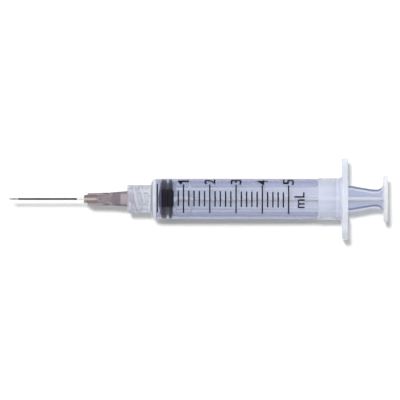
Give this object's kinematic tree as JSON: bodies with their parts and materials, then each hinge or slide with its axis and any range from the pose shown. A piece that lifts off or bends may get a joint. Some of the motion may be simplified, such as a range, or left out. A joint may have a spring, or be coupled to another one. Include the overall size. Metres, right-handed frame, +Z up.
{
  "type": "luer lock syringe",
  "caption": "Clear disposable syringe with a luer lock collar, a screwed-on needle, a rubber stopper and a plunger rod that slides and turns.",
  "frame": {"origin": "bottom centre of the bounding box: under the middle of the whole length, at the height of the finger flange's lower flat, on which the syringe lies", "axes": "+X along the syringe's axis from the needle's point to the thumb disc, +Y across the finger flange's longer side, +Z up, through the middle of the printed scale"},
  "size_m": [0.1268, 0.0274, 0.0164],
  "materials": {
    "clear_plastic": "clear, slightly frosted inside",
    "scale_ink": "printed black ink",
    "black_rubber": "smooth, lightly siliconed",
    "rod_plastic": "translucent, moulded",
    "hub_plastic": "smoky translucent",
    "needle_steel": "drawn and ground stainless steel",
    "adhesive": "cured, slightly amber"
  },
  "bodies": {
    "barrel": {"barrel": "clear_plastic", "scale_print": "scale_ink"},
    "piston": {"stopper": "black_rubber"},
    "plunger": {"plunger_rod": "rod_plastic"},
    "needle_carrier": {"cannula_adhesive": "adhesive"},
    "needle": {"needle_hub": "hub_plastic", "cannula": "needle_steel"}
  },
  "joints": [
    {"name": "plunger_slide", "type": "slide", "parent": "barrel", "child": "piston", "axis": [1, 0, 0], "range_m": [-0.00139, 0.0488]},
    {"name": "plunger_turn", "type": "hinge", "parent": "piston", "child": "plunger", "pos_m": [-0.00851, 0, 0.0082], "axis": [1, 0, 0], "continuous": true},
    {"name": "needle_advance", "type": "slide", "parent": "barrel", "child": "needle_carrier", "axis": [-1, 0, 0], "range_m": [0, 0.003]},
    {"name": "needle_unscrew", "type": "hinge", "parent": "needle_carrier", "child": "needle", "pos_m": [-0.0285, 0, 0.0082], "axis": [-1, 0, 0], "range_deg": [0, 216.1]}
  ],
  "couplings": [
    {"joint": "needle_unscrew", "follows": "needle_advance", "rad_per_m": 1256.6}
  ]
}
